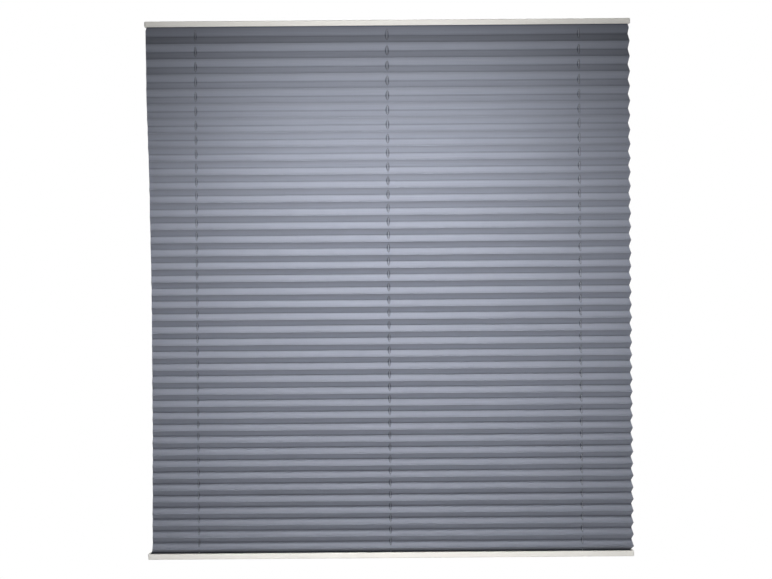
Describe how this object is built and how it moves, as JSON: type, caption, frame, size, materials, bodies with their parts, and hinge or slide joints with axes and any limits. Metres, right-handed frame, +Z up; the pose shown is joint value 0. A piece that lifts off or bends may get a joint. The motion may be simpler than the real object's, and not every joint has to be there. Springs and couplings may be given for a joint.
{
  "type": "pleated blind",
  "caption": "Pleated window blind with a grey cloth hung between slim white rails; the bottom rail slides up its guide cords and gathers the pleats.",
  "frame": {"origin": "middle of the head rail's flat top face", "axes": "+Z up, +X to the right as seen from the room, +Y towards the window"},
  "size_m": [1, 0.022, 1.108],
  "materials": {
    "rail_lacquer": "satin",
    "cap_plastic": "satin",
    "cloth": "matte",
    "cord": "matte",
    "strip_plastic": "satin",
    "guide_plastic": "satin",
    "spring_steel": "satin"
  },
  "bodies": {
    "head": {"head_rail": "rail_lacquer", "pleated_fabric": "cloth", "head_fabric_strip": "strip_plastic", "head_end_cap_left": "cap_plastic", "head_end_cap_right": "cap_plastic", "head_cord_guide_left": "guide_plastic", "head_cord_guide_middle": "guide_plastic", "head_cord_guide_right": "guide_plastic", "cord_left": "cord", "tension_spring_left": "spring_steel", "spring_anchor_left": "guide_plastic", "cord_middle": "cord", "tension_spring_middle": "spring_steel", "spring_anchor_middle": "guide_plastic", "cord_right": "cord", "tension_spring_right": "spring_steel", "spring_anchor_right": "guide_plastic"},
    "bottom": {"bottom_rail": "rail_lacquer", "bottom_end_cap_left": "cap_plastic", "bottom_end_cap_right": "cap_plastic", "bottom_fabric_strip": "strip_plastic", "bottom_cord_guide_left": "guide_plastic", "bottom_cord_guide_middle": "guide_plastic", "bottom_cord_guide_right": "guide_plastic"}
  },
  "joints": [
    {"name": "bottom_rail_slide", "type": "slide", "parent": "head", "child": "bottom", "axis": [0, 0, 1], "range_m": [0, 1.04], "deforming": ["pleated_fabric"]}
  ]
}
